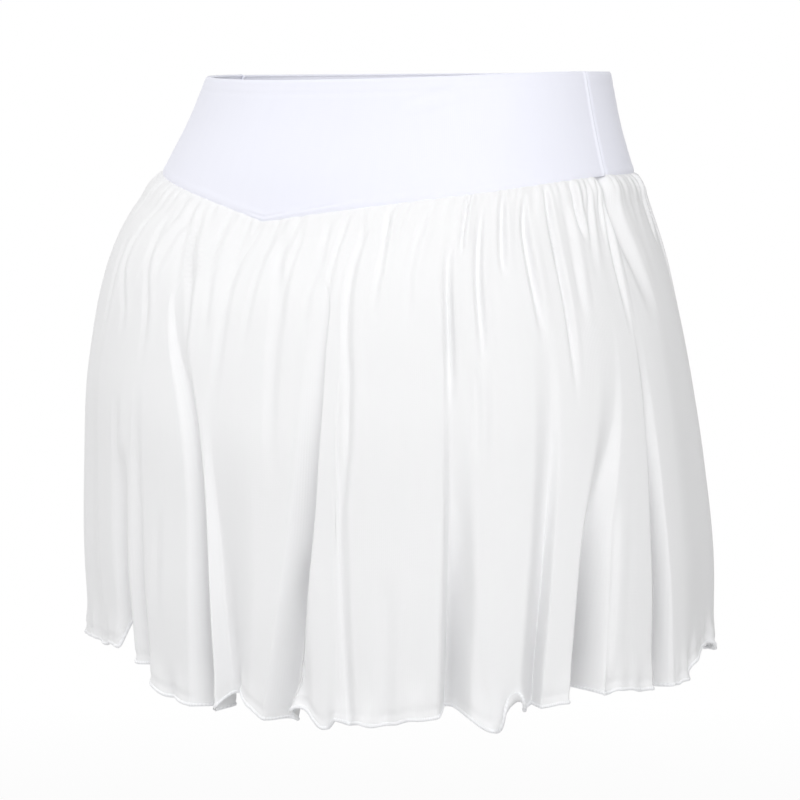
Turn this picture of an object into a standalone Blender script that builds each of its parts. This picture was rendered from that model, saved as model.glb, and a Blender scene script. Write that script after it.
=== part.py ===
"""A badminton skirt as it is worn: a shaped waistband in two pieces over two gathered skirt panels.

Metres, +Z up. The wearer faces -Y and their right side is -X. The origin is the middle of the waist,
level with the top of the band. Angles run round the garment in degrees: 0 is the centre back, 90 the
seam on the wearer's right, 180 the centre front and 270 (or -90) the seam on their left.
"""

import math
from bisect import bisect_right
from collections import namedtuple

import bmesh
import bpy

COLLECTION = "Badminton_Skirt"

# Walls and seams.
BAND_WALL = 0.0018
SKIRT_WALL = 0.0012
SEAM_GAP = 0.0003

# The side seams, and how far round each panel reaches from its own middle.
BACK_MIDDLE = 0.0
FRONT_MIDDLE = 180.0
QUARTER_TURN = 90.0

# The band: a top edge that dips at the centre back and towards the wearer's left, and a lower edge
# that comes down to a V at the centre back.
TOP_EDGE = 0.0008
TOP_DIP = 0.0040
TOP_TILT = 0.0018
BAND_HEIGHT = 0.0595
YOKE_DROP = 0.0275
YOKE_CURVE_RIGHT = 1.45
YOKE_CURVE_LEFT = 2.30

# Level sections of the band: how far each lies below the waist, its half width, how far it reaches
# behind and before its own widest line, how far that line lies behind the axis, and how much the
# seat fills it out beside the centre back.
BandRing = namedtuple("BandRing", "drop half_width back front centre seat")
BAND_RINGS = (
    BandRing(0.000, 0.1385, 0.1020, 0.0990, 0.0000, 0.000),
    BandRing(0.030, 0.1490, 0.1065, 0.1030, 0.0050, 0.005),
    BandRing(0.060, 0.1622, 0.1105, 0.1180, 0.0125, 0.015),
    BandRing(0.090, 0.1735, 0.1140, 0.1300, 0.0175, 0.030),
)

# Sections of the skirt over its folds, by the share of the way from the band to the hem.
SkirtRing = namedtuple("SkirtRing", "share half_width back front centre seat")
SKIRT_RINGS = (
    SkirtRing(0.03, 0.1675, 0.1195, 0.1250, 0.0145, 0.022),
    SkirtRing(0.09, 0.1745, 0.1345, 0.1330, 0.0165, 0.032),
    SkirtRing(0.16, 0.1820, 0.1465, 0.1395, 0.0175, 0.030),
    SkirtRing(0.24, 0.1890, 0.1545, 0.1437, 0.0170, 0.030),
    SkirtRing(0.33, 0.1955, 0.1612, 0.1470, 0.0160, 0.025),
    SkirtRing(0.45, 0.2015, 0.1685, 0.1525, 0.0145, 0.020),
    SkirtRing(0.60, 0.2065, 0.1725, 0.1595, 0.0120, 0.015),
    SkirtRing(0.80, 0.2110, 0.1760, 0.1655, 0.0090, 0.010),
    SkirtRing(1.00, 0.2110, 0.1745, 0.1600, 0.0060, 0.010),
)

# The level of the hem round the garment: it hangs lowest over the seat.
HemPoint = namedtuple("HemPoint", "angle height")
HEM_POINTS = (
    HemPoint(-90.0, -0.3530),
    HemPoint(-72.0, -0.3560),
    HemPoint(-56.0, -0.3580),
    HemPoint(-46.0, -0.3520),
    HemPoint(-34.0, -0.3495),
    HemPoint(-23.0, -0.3460),
    HemPoint(-17.0, -0.3535),
    HemPoint(-12.5, -0.3635),
    HemPoint(-3.0, -0.3700),
    HemPoint(1.0, -0.3703),
    HemPoint(9.0, -0.3700),
    HemPoint(14.4, -0.3724),
    HemPoint(19.5, -0.3692),
    HemPoint(22.8, -0.3712),
    HemPoint(27.5, -0.3672),
    HemPoint(34.0, -0.3664),
    HemPoint(38.0, -0.3622),
    HemPoint(41.6, -0.3612),
    HemPoint(43.6, -0.3592),
    HemPoint(46.4, -0.3625),
    HemPoint(50.3, -0.3688),
    HemPoint(56.0, -0.3580),
    HemPoint(61.5, -0.3555),
    HemPoint(68.0, -0.3520),
    HemPoint(76.0, -0.3510),
    HemPoint(82.0, -0.3545),
    HemPoint(93.0, -0.3535),
    HemPoint(101.0, -0.3465),
    HemPoint(112.0, -0.3450),
    HemPoint(126.0, -0.3520),
    HemPoint(141.0, -0.3475),
    HemPoint(158.0, -0.3530),
    HemPoint(176.0, -0.3490),
    HemPoint(192.0, -0.3545),
    HemPoint(212.0, -0.3480),
    HemPoint(230.0, -0.3540),
    HemPoint(250.0, -0.3495),
    HemPoint(270.0, -0.3530),
)

# Below the band, the share of the way down in which the cloth still follows the seam's own places.
SEAM_HOLD = 0.14

# Folds, each a valley between two ridges of the cloth: its angle at the hem, how far it opens to
# each side, its depth at the hem, the share of the way down where it starts, how late it deepens (a
# greater bend keeps it shallow for longer), how far round it has wandered low down, halfway, high up
# and by the band, and how much the hem rises in it.
WANDER_SHARES = (0.0, 0.25, 0.45, 0.70, 1.0)
NARROWING = 0.40
Fold = namedtuple("Fold", "angle before after depth start bend low halfway high top lift")
BACK_FOLDS = (
    Fold(-82.5, 5.0, 5.0, 0.020, 0.16, 0.5, 0.3, 0.5, 0.8, 1.0, 0.003),
    Fold(-69.5, 5.0, 5.5, 0.024, 0.10, 0.5, -0.5, -1.0, -1.5, -2.0, 0.004),
    Fold(-56.5, 4.5, 4.5, 0.012, 0.26, 0.5, -0.4, -0.8, -1.2, -1.5, 0.002),
    Fold(-36.0, 7.0, 6.0, 0.004, 0.20, 1.0, -0.8, -1.4, -2.0, -2.5, 0.000),
    Fold(-20.4, 4.0, 2.6, 0.017, 0.55, 0.5, -0.9, -1.6, -2.4, -3.0, 0.006),
    Fold(-15.2, 2.6, 1.7, 0.009, 0.34, 1.0, -1.2, -2.4, -3.7, -5.0, 0.003),
    Fold(-0.6, 3.4, 2.3, 0.024, 0.10, 0.5, 0.9, -1.6, -10.6, -16.4, -0.001),
    Fold(2.8, 1.8, 6.0, 0.015, 0.30, 0.7, 0.0, -1.0, -2.6, -4.4, 0.0105),
    Fold(13.6, 2.6, 3.6, 0.022, 0.12, 0.6, 6.0, 9.0, 9.6, 10.8, 0.000),
    Fold(26.0, 1.2, 1.8, 0.004, 0.30, 0.5, 0.1, 0.2, 0.2, 0.2, 0.000),
    Fold(41.6, 1.4, 6.4, 0.021, 0.22, 1.2, 2.2, 3.6, 3.8, 3.9, 0.001),
    Fold(58.5, 4.2, 1.2, 0.014, 0.20, 1.0, 3.1, 5.2, 5.4, 5.3, -0.001),
    Fold(65.8, 2.4, 5.4, 0.044, 0.10, 3.4, 4.4, 11.8, 13.8, 10.4, 0.000),
    Fold(84.2, 2.8, 4.6, 0.056, 0.08, 3.2, 1.6, 2.4, 2.4, 2.2, -0.004),
)
FRONT_FOLDS = (
    Fold(105.0, 12.0, 11.0, 0.003, 0.16, 0.5, -1.0, -2.4, -4.0, -5.4, 0.006),
    Fold(121.0, 4.6, 5.0, 0.023, 0.16, 0.5, 0.2, 0.5, 0.8, 1.0, 0.006),
    Fold(133.5, 4.6, 3.2, 0.027, 0.38, 0.5, -0.2, -0.5, -0.8, -1.0, 0.004),
    Fold(146.0, 2.6, 6.4, 0.024, 0.12, 0.5, 1.0, 1.8, 2.4, 3.0, 0.003),
    Fold(160.5, 5.2, 3.4, 0.029, 0.24, 0.5, 0.7, 1.2, 1.6, 2.0, 0.003),
    Fold(172.0, 5.0, 4.6, 0.015, 0.42, 0.5, 0.0, 0.0, 0.0, 0.0, 0.005),
    Fold(185.0, 3.0, 5.4, 0.030, 0.12, 0.5, -0.9, -1.8, -2.4, -3.0, 0.003),
    Fold(199.0, 6.0, 2.6, 0.023, 0.24, 0.5, -0.6, -1.2, -1.6, -2.0, 0.002),
    Fold(210.0, 4.6, 5.4, 0.027, 0.16, 0.5, -1.1, -2.2, -2.9, -3.5, 0.005),
    Fold(224.0, 5.6, 3.6, 0.018, 0.34, 0.5, 0.0, 0.0, 0.0, 0.0, 0.003),
    Fold(236.0, 3.2, 5.6, 0.029, 0.13, 0.5, 1.2, 2.2, 2.9, 3.5, 0.004),
    Fold(249.5, 4.8, 4.6, 0.020, 0.22, 0.5, 0.5, 0.9, 1.2, 1.5, 0.003),
    Fold(261.5, 4.6, 4.4, 0.024, 0.12, 0.5, -0.3, -0.5, -0.8, -1.0, 0.002),
)

# The grid of each piece: rows of the skirt by share, and the widest step between columns.
SKIRT_ROWS = (0.0, 0.03, 0.07, 0.12, 0.18, 0.26, 0.36, 0.47, 0.60, 0.74, 0.87, 1.0)
BAND_ROWS = (0.0, 0.2, 0.4, 0.6, 0.8, 1.0)
BAND_STEP = 6.0
SKIRT_STEP = 4.6
CLOSEST_COLUMNS = 0.55

# Finishes: linear base colour and roughness.
Finish = namedtuple("Finish", "name colour roughness")
BAND_KNIT = Finish("Band_Knit", (0.860, 0.870, 0.960), 0.62)
SKIRT_JERSEY = Finish("Skirt_Jersey", (0.880, 0.890, 0.890), 0.70)


def clear_scene():
    for old in list(bpy.data.objects):
        bpy.data.objects.remove(old, do_unlink=True)


def curve_through(xs, ys, x):
    """The height at x of a smooth curve through the points (xs, ys), level beyond its ends."""
    if x <= xs[0]:
        return ys[0]
    if x >= xs[-1]:
        return ys[-1]
    i = bisect_right(xs, x) - 1
    before, after = max(i - 1, 0), min(i + 2, len(xs) - 1)
    leaving = (ys[i + 1] - ys[before]) / (xs[i + 1] - xs[before])
    arriving = (ys[after] - ys[i]) / (xs[after] - xs[i])
    width = xs[i + 1] - xs[i]
    t = (x - xs[i]) / width
    return (
        ys[i] * (1 + 2 * t) * (1 - t) ** 2
        + ys[i + 1] * t * t * (3 - 2 * t)
        + width * leaving * t * (1 - t) ** 2
        - width * arriving * t * t * (1 - t)
    )


def smooth_step(x):
    x = min(max(x, 0.0), 1.0)
    return x * x * (3 - 2 * x)


def towards_back(angle):
    """1 at the centre back, falling to 0 at the side seams and staying there round the front."""
    return max(math.cos(math.radians(angle)), 0.0)


def from_back(angle):
    """The angle from the centre back, between -180 and 180."""
    return (angle + 180.0) % 360.0 - 180.0


def band_top(angle):
    towards_left = (1 - math.sin(math.radians(angle))) / 2
    return TOP_EDGE - TOP_DIP * towards_back(angle) ** 2 - TOP_TILT * towards_left


def band_bottom(angle):
    curve = YOKE_CURVE_RIGHT if from_back(angle) > 0 else YOKE_CURVE_LEFT
    near_back = max(1 - abs(from_back(angle)) / QUARTER_TURN, 0.0)
    return -BAND_HEIGHT - YOKE_DROP * near_back**curve


def hem_level(angle):
    return curve_through([p.angle for p in HEM_POINTS], [p.height for p in HEM_POINTS], angle)


def section_point(angle, half_width, back, front, centre, seat):
    """A point on a level section, and the section's outward direction there."""
    across, along = math.sin(math.radians(angle)), math.cos(math.radians(angle))
    depth = back if along > 0 else front
    swell = 1 + (seat * (2 * across * along) ** 2 if along > 0 else 0.0)
    outward = (-across / half_width, along / depth)
    length = math.hypot(*outward)
    return (
        -half_width * swell * across,
        centre + depth * swell * along,
        outward[0] / length,
        outward[1] / length,
    )


def band_section(height):
    """The sizes of the band's section at a height, in the order of a ring's columns."""
    drops = [ring.drop for ring in BAND_RINGS]
    return [curve_through(drops, column, -height) for column in list(zip(*BAND_RINGS))[1:]]


def band_place(angle, share):
    """A point on the outside of the band, share of the way from its top edge to its lower edge."""
    height = band_top(angle) + share * (band_bottom(angle) - band_top(angle))
    x, y, _, _ = section_point(angle, *band_section(height))
    return x, y, height


def fold_spread(fold, angle, share):
    """How much of a fold's depth reaches an angle: 1 along its valley and 0 on the ridges beside it,
    which draw together towards the band."""
    narrowed = 1 - NARROWING * (1 - smooth_step(share))
    offset = angle - fold.angle
    reach = offset / ((fold.after if offset > 0 else fold.before) * narrowed)
    return (1 - reach * reach) ** 2 if abs(reach) < 1 else 0.0


def fold_growth(fold, share):
    """How much of its depth a fold has reached on its way down."""
    return smooth_step((share - fold.start) / (1 - fold.start)) ** fold.bend


def wander(fold, share):
    """How far round a fold lies from its place at the hem, by share of the way down."""
    return curve_through(WANDER_SHARES, (fold.top, fold.high, fold.halfway, fold.low, 0.0), share)


def wandered(folds, angle, share, start, end):
    """The angle of a line of cloth, which wanders with the folds beside it and is straight at a seam."""
    angles = [start, *[fold.angle for fold in folds], end]
    wanders = [0.0, *[wander(fold, share) for fold in folds], 0.0]
    i = min(bisect_right(angles, angle), len(angles) - 1)
    between = (angle - angles[i - 1]) / (angles[i] - angles[i - 1])
    shift = wanders[i - 1] + between * (wanders[i] - wanders[i - 1])
    return angle + shift * smooth_step(share / SEAM_HOLD)


def skirt_section(angle, share):
    """The sizes of the skirt's section at a point. At the band it is the band's own lower edge."""
    shares = [0.0, *[ring.share for ring in SKIRT_RINGS]]
    columns = list(zip(*SKIRT_RINGS))[1:]
    edge = band_section(band_bottom(angle))
    return [curve_through(shares, [first, *column], share) for first, column in zip(edge, columns)]


def skirt_place(folds, start, end):
    """A function that places the cloth of a panel between two seams."""

    def place(angle, share):
        turned = wandered(folds, angle, share, start, end)
        x, y, out_x, out_y = section_point(turned, *skirt_section(turned, share))
        depth, lift = 0.0, 0.0
        for fold in folds:
            spread = fold_spread(fold, angle, share)
            depth += fold.depth * spread * fold_growth(fold, share)
            lift += fold.lift * spread * share**3
        top = band_bottom(turned) - SEAM_GAP
        height = top + share * (hem_level(turned) - top) + lift
        return x - depth * out_x, y - depth * out_y, height

    return place


def filled(stops, step):
    """The stops with more between them, no wider apart than step."""
    made = [stops[0]]
    for stop in stops[1:]:
        count = max(math.ceil((stop - made[-1]) / step), 1)
        first = made[-1]
        made += [first + (stop - first) * i / count for i in range(1, count + 1)]
    return made


def fold_columns(folds, start, middle, end):
    """Angles for the columns of a panel: its ends and middle, five across each fold, and more on the
    broad ridges."""
    wanted = sorted(
        fold.angle + offset
        for fold in folds
        for offset in (-fold.before, -fold.before / 2, 0.0, fold.after / 2, fold.after)
    )
    kept = [start, middle, end]
    for angle in wanted:
        if min(abs(angle - other) for other in kept) > CLOSEST_COLUMNS:
            kept.append(angle)
    return filled(sorted(kept), SKIRT_STEP)


def cloth_material(finish):
    material = bpy.data.materials.new(finish.name)
    material.use_nodes = True
    surface = material.node_tree.nodes["Principled BSDF"]
    surface.inputs["Base Color"].default_value = (*finish.colour, 1.0)
    surface.inputs["Roughness"].default_value = finish.roughness
    surface.inputs["Metallic"].default_value = 0.0
    return material


def cloth_panel(name, columns, rows, place, wall, material):
    """One cut piece: a grid laid on the garment's outside by place, with its wall inwards."""
    mesh = bpy.data.meshes.new(name)
    bm = bmesh.new()
    bmesh.ops.create_grid(bm, x_segments=len(columns) - 1, y_segments=len(rows) - 1, size=0.5)
    for vertex in bm.verts:
        column = round((vertex.co.x + 0.5) * (len(columns) - 1))
        row = round((0.5 - vertex.co.y) * (len(rows) - 1))
        vertex.co = place(columns[column], rows[row])
    for face in bm.faces:
        face.smooth = True
    bm.to_mesh(mesh)
    bm.free()
    mesh.materials.append(material)
    panel = bpy.data.objects.new(name, mesh)
    shell = panel.modifiers.new("Wall", "SOLIDIFY")
    shell.thickness = wall
    shell.offset = -1.0
    return panel


def seam_inset(half_gap):
    """The angle that half a side seam's gap takes up, at the narrowest part of the garment."""
    return math.degrees(half_gap / min(ring.back for ring in BAND_RINGS))


def main():
    clear_scene()
    collection = bpy.data.collections.new(COLLECTION)
    bpy.context.scene.collection.children.link(collection)
    garment = bpy.data.objects.new("Waist", None)
    collection.objects.link(garment)

    knit = cloth_material(BAND_KNIT)
    jersey = cloth_material(SKIRT_JERSEY)
    reach = QUARTER_TURN - seam_inset(SEAM_GAP / 2)
    for side, middle, folds in (("back", BACK_MIDDLE, BACK_FOLDS), ("front", FRONT_MIDDLE, FRONT_FOLDS)):
        start, end = middle - reach, middle + reach
        band_columns = filled([start, end], BAND_STEP)
        band = cloth_panel(f"waistband_{side}", band_columns, BAND_ROWS, band_place, BAND_WALL, knit)
        skirt_columns = fold_columns(folds, start, middle, end)
        hang = skirt_place(folds, start, end)
        skirt = cloth_panel(f"skirt_{side}", skirt_columns, SKIRT_ROWS, hang, SKIRT_WALL, jersey)
        for panel in (band, skirt):
            collection.objects.link(panel)
            panel.parent = garment


main()
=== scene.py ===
"""The looks of a badminton skirt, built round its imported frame.

Metres, +Z up, in the frame's own axes: the wearer faces -Y and their right side is -X. The origin is
the middle of the waist, level with the top of the band. Angles run round the garment in degrees: 0 is
the centre back, 90 the seam on the wearer's right, 180 the centre front and 270 (or -90) the seam on
their left. A share runs down a piece, from 0 at its upper edge to 1 at its lower edge.
"""

from __future__ import annotations

import logging
import math
from dataclasses import dataclass
from enum import Enum

import bmesh
import bpy
import numpy as np
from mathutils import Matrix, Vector

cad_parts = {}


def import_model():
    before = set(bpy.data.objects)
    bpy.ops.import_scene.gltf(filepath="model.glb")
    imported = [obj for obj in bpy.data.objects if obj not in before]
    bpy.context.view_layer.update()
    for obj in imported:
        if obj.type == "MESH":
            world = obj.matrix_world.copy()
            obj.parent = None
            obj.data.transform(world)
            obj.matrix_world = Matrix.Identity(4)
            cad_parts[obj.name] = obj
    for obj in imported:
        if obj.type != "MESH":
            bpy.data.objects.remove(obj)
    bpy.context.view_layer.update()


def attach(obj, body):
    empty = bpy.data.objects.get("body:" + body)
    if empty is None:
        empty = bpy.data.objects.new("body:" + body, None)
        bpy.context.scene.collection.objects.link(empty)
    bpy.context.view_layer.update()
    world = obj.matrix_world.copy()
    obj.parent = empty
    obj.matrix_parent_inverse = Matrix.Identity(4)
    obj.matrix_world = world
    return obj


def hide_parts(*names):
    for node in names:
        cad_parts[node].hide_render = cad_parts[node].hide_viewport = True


LOG = logging.getLogger("badminton_skirt")
BODY = "root"
QUARTER_TURN = 90.0
CLOTH_UV = "Cloth"
FINE_STEPS = 4001

Array = np.ndarray
Numbers = list[float] | tuple[float, ...]
Spacing = tuple[tuple[float, float], ...]


class Side(Enum):
    """The half of the garment that a piece covers, by the angle of its middle."""

    BACK = 0.0
    FRONT = 180.0

    @property
    def word(self) -> str:
        """The side's name in a piece's name."""
        return self.name.lower()


class Run(Enum):
    """The way a crease runs over the cloth."""

    DOWN = "down"
    ROUND = "round"


class Slot(Enum):
    """The record's material slots."""

    BAND = "band_knit"
    SKIRT = "skirt_jersey"


# --- Curves -----------------------------------------------------------------------------------------


def smooth_step(x: Array | float) -> Array:
    """A smooth rise from 0 to 1 as x does."""
    x = np.clip(x, 0.0, 1.0)
    return x * x * (3 - 2 * x)


def swell(x: Array, half_width: Array | float) -> Array:
    """A smooth bump of height 1 at x = 0, which is level and zero half_width away."""
    reach = np.clip(np.abs(x) / half_width, 0.0, 1.0)
    return (1 - reach * reach) ** 2


def curve_weights(stops: Numbers, x: Array) -> Array:
    """How much of the value at each stop a smooth curve through them takes at x.

    Args:
        stops: The places of the curve's points, in rising order.
        x: Where the curve is read. It is level beyond its ends.

    Returns:
        One row for each x, with a weight for each stop.
    """
    places = np.asarray(stops, float)
    read = np.clip(np.ravel(x).astype(float), places[0], places[-1])
    i = np.clip(np.searchsorted(places, read, side="right") - 1, 0, len(places) - 2)
    before, after = np.maximum(i - 1, 0), np.minimum(i + 2, len(places) - 1)
    width = places[i + 1] - places[i]
    t = (read - places[i]) / width
    leaving = width * t * (1 - t) ** 2 / (places[i + 1] - places[before])
    arriving = width * t * t * (1 - t) / (places[after] - places[i])
    weights = np.zeros((len(read), len(places)))
    row = np.arange(len(read))
    np.add.at(weights, (row, i), (1 + 2 * t) * (1 - t) ** 2 + arriving)
    np.add.at(weights, (row, i + 1), t * t * (3 - 2 * t) + leaving)
    np.add.at(weights, (row, before), -leaving)
    np.add.at(weights, (row, after), -arriving)
    return weights


def curve_through(stops: Numbers, values: Numbers, x: Array) -> Array:
    """The smooth curve through the values at the stops, read at x, in x's own shape."""
    return (curve_weights(stops, x) @ np.asarray(values, float)).reshape(np.shape(x))


def evened(stops: Spacing, count: int) -> Array:
    """Places from 0 to 1, closer together where they are wanted.

    Args:
        stops: Pairs of a place and the relative spacing there.
        count: How many places to give.

    Returns:
        The places in rising order, with 0 and 1 at the ends.
    """
    fine = np.linspace(0.0, 1.0, FINE_STEPS)
    spacing = np.interp(fine, [p for p, _ in stops], [s for _, s in stops])
    passed = np.concatenate([[0.0], np.cumsum(2 / (spacing[1:] + spacing[:-1]))])
    return np.interp(np.linspace(0.0, passed[-1], count), passed, fine)


def clear_of_ends(angle: Array, start: float, end: float, rest: float) -> Array:
    """A factor that is 0 at either end of a range of angles and rises to 1, rest degrees inside it."""
    return smooth_step((angle - start) / rest) * smooth_step((end - angle) / rest)


@dataclass(frozen=True)
class Ridge:
    """A rounded ridge along an edge, or a groove if its height is negative, at a distance from it."""

    height: float
    place: float
    half_width: float

    def relief(self, distance: Array) -> Array:
        """The height that the ridge gives cloth at distances from the edge."""
        return self.height * swell(distance - self.place, self.half_width)


@dataclass(frozen=True)
class Turn:
    """The way that cloth goes down by a depth at an edge, over a width."""

    depth: float
    width: float

    def relief(self, distance: Array) -> Array:
        """The height, below zero, that the turn gives cloth at distances from the edge."""
        return -self.depth * (1 - smooth_step(distance / self.width))


# --- The form of the garment ------------------------------------------------------------------------


@dataclass(frozen=True)
class BandRing:
    """A level section of the band, drop below the waist."""

    drop: float
    half_width: float
    back: float
    front: float
    centre: float
    seat: float


@dataclass(frozen=True)
class SkirtRing:
    """A section of the skirt over its folds, by the share of the way from the band to the hem."""

    share: float
    half_width: float
    back: float
    front: float
    centre: float
    seat: float


def sizes_of(rings: tuple[BandRing | SkirtRing, ...]) -> Array:
    """The five sizes of each ring, in a row for each."""
    return np.array([(r.half_width, r.back, r.front, r.centre, r.seat) for r in rings])


@dataclass(frozen=True)
class HemPoint:
    """The level of the hem at an angle."""

    angle: float
    height: float


@dataclass(frozen=True)
class Sections:
    """The five sizes of a level section, each an array over the points that are placed."""

    half_width: Array
    back: Array
    front: Array
    centre: Array
    seat: Array

    def points(self, angle: Array) -> tuple[Array, Array, Array, Array]:
        """The points at angles on the sections.

        Args:
            angle: Where each point lies round the garment, in degrees.

        Returns:
            x and y of each point, and x and y of the outward direction there.
        """
        across, along = np.sin(np.radians(angle)), np.cos(np.radians(angle))
        behind = along > 0
        depth = np.where(behind, self.back, self.front)
        wider = 1 + np.where(behind, self.seat * (2 * across * along) ** 2, 0.0)
        out_x, out_y = -across / self.half_width, along / depth
        length = np.hypot(out_x, out_y)
        x = -self.half_width * wider * across
        y = self.centre + depth * wider * along
        return x, y, out_x / length, out_y / length


@dataclass(frozen=True)
class GarmentForm:
    """The form that every piece is laid on: the frame's own sections, edges and hem."""

    top_edge: float = 0.0008
    top_dip: float = 0.0040
    top_tilt: float = 0.0018
    band_height: float = 0.0595
    yoke_drop: float = 0.0275
    yoke_curve_right: float = 1.45
    yoke_curve_left: float = 2.30
    band_rings: tuple[BandRing, ...] = (
        BandRing(0.000, 0.1385, 0.1020, 0.0990, 0.0000, 0.000),
        BandRing(0.030, 0.1490, 0.1065, 0.1030, 0.0050, 0.005),
        BandRing(0.060, 0.1622, 0.1105, 0.1180, 0.0125, 0.015),
        BandRing(0.090, 0.1735, 0.1140, 0.1300, 0.0175, 0.030),
    )
    skirt_rings: tuple[SkirtRing, ...] = (
        SkirtRing(0.03, 0.1675, 0.1195, 0.1250, 0.0145, 0.022),
        SkirtRing(0.09, 0.1745, 0.1345, 0.1330, 0.0165, 0.032),
        SkirtRing(0.16, 0.1820, 0.1465, 0.1395, 0.0175, 0.030),
        SkirtRing(0.24, 0.1890, 0.1545, 0.1437, 0.0170, 0.030),
        SkirtRing(0.33, 0.1955, 0.1612, 0.1470, 0.0160, 0.025),
        SkirtRing(0.45, 0.2015, 0.1685, 0.1525, 0.0145, 0.020),
        SkirtRing(0.60, 0.2065, 0.1725, 0.1595, 0.0120, 0.015),
        SkirtRing(0.80, 0.2110, 0.1760, 0.1655, 0.0090, 0.010),
        SkirtRing(1.00, 0.2110, 0.1745, 0.1600, 0.0060, 0.010),
    )
    hem_points: tuple[HemPoint, ...] = (
        HemPoint(-90.0, -0.3530),
        HemPoint(-72.0, -0.3560),
        HemPoint(-56.0, -0.3580),
        HemPoint(-46.0, -0.3520),
        HemPoint(-34.0, -0.3495),
        HemPoint(-23.0, -0.3460),
        HemPoint(-17.0, -0.3535),
        HemPoint(-12.5, -0.3635),
        HemPoint(-3.0, -0.3700),
        HemPoint(1.0, -0.3703),
        HemPoint(9.0, -0.3700),
        HemPoint(14.4, -0.3724),
        HemPoint(19.5, -0.3692),
        HemPoint(22.8, -0.3712),
        HemPoint(27.5, -0.3672),
        HemPoint(34.0, -0.3664),
        HemPoint(38.0, -0.3622),
        HemPoint(41.6, -0.3612),
        HemPoint(43.6, -0.3592),
        HemPoint(46.4, -0.3625),
        HemPoint(50.3, -0.3688),
        HemPoint(56.0, -0.3580),
        HemPoint(61.5, -0.3555),
        HemPoint(68.0, -0.3520),
        HemPoint(76.0, -0.3510),
        HemPoint(82.0, -0.3545),
        HemPoint(93.0, -0.3535),
        HemPoint(101.0, -0.3465),
        HemPoint(112.0, -0.3450),
        HemPoint(126.0, -0.3520),
        HemPoint(141.0, -0.3475),
        HemPoint(158.0, -0.3530),
        HemPoint(176.0, -0.3490),
        HemPoint(192.0, -0.3545),
        HemPoint(212.0, -0.3480),
        HemPoint(230.0, -0.3540),
        HemPoint(250.0, -0.3495),
        HemPoint(270.0, -0.3530),
    )

    def band_top(self, angle: Array) -> Array:
        """The band's top edge, which dips behind and towards the wearer's left.

        Args:
            angle: The angles at which it is read.

        Returns:
            Its height at each.
        """
        behind = np.maximum(np.cos(np.radians(angle)), 0.0)
        leftward = (1 - np.sin(np.radians(angle))) / 2
        return self.top_edge - self.top_dip * behind**2 - self.top_tilt * leftward

    def band_bottom(self, angle: Array) -> Array:
        """The band's lower edge, which comes down to a V at the centre back.

        Args:
            angle: The angles at which it is read.

        Returns:
            Its height at each.
        """
        turned = (np.asarray(angle) + 180.0) % 360.0 - 180.0
        curve = np.where(turned > 0, self.yoke_curve_right, self.yoke_curve_left)
        near = np.maximum(1 - np.abs(turned) / QUARTER_TURN, 0.0)
        return -self.band_height - self.yoke_drop * near**curve

    def hem_level(self, angle: Array) -> Array:
        """The height of the hem before its folds lift it."""
        return curve_through([p.angle for p in self.hem_points], [p.height for p in self.hem_points], angle)

    def band_sections(self, height: Array) -> Sections:
        """The band's level sections.

        Args:
            height: The heights at which they are read.

        Returns:
            The sizes of a section for each.
        """
        weights = curve_weights([ring.drop for ring in self.band_rings], -height)
        sizes = weights @ sizes_of(self.band_rings)
        return Sections(*(column.reshape(np.shape(height)) for column in sizes.T))

    def skirt_sections(self, angle: Array, share: Array) -> Sections:
        """The skirt's sections, which start as the band's own lower edge.

        Args:
            angle: The points' angles on the garment.
            share: The points' shares of the way from the band to the hem.

        Returns:
            The sizes of a section for each point.
        """
        edge = self.band_sections(self.band_bottom(angle))
        firsts = (edge.half_width, edge.back, edge.front, edge.centre, edge.seat)
        weights = curve_weights([0.0, *[ring.share for ring in self.skirt_rings]], share)
        sizes = weights[:, 1:] @ sizes_of(self.skirt_rings)
        shape = np.shape(share)
        first_weight = weights[:, 0].reshape(shape)
        pairs = zip(firsts, sizes.T)
        return Sections(*(first_weight * first + column.reshape(shape) for first, column in pairs))


# --- Folds, creases and gathers ---------------------------------------------------------------------


@dataclass(frozen=True)
class Fold:
    """A valley between two ridges of the cloth.

    Its angle is at the hem. It opens before and after it, reaches its depth at the hem, begins at the
    start share, and lifts the hem. Above the hem it wanders: by low, halfway, high and top degrees on
    its way up to the band. A greater bend keeps the fold shallow for longer before it deepens. Where
    lap is given, the ridge after it (or before it, if lap is negative) leans over the valley. The lip
    that leans has a half width of LIP_WIDTH degrees. A fold is narrower by the part NARROWING at the
    band than at the hem.
    """

    angle: float
    before: float
    after: float
    depth: float
    start: float
    bend: float
    low: float
    halfway: float
    high: float
    top: float
    lift: float
    lap: float = 0.0

    WANDER_STOPS = (0.0, 0.25, 0.45, 0.70, 1.0)
    LIP_WIDTH = 1.7
    NARROWING = 0.40

    def wander(self, share: Array) -> Array:
        """How far round the fold lies from its place at the hem."""
        return curve_through(self.WANDER_STOPS, (self.top, self.high, self.halfway, self.low, 0.0), share)

    def narrowed(self, share: Array) -> Array:
        """How wide the fold is there, as a part of its width at the hem."""
        return 1 - self.NARROWING * (1 - smooth_step(share))

    def spread(self, angle: Array, share: Array) -> Array:
        """How much of the fold's depth reaches an angle of the cloth."""
        offset = angle - self.angle
        return swell(offset, np.where(offset > 0, self.after, self.before) * self.narrowed(share))

    def growth(self, share: Array) -> Array:
        """How much of its depth the fold has reached."""
        return smooth_step((share - self.start) / (1 - self.start)) ** self.bend

    def lean(self, angle: Array, share: Array) -> Array:
        """How far the lip beside the valley is pushed over it, in metres towards rising angles."""
        lip = self.angle + (self.after if self.lap > 0 else -self.before) * self.narrowed(share)
        return -self.lap * swell(angle - lip, self.LIP_WIDTH) * self.growth(share)


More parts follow.
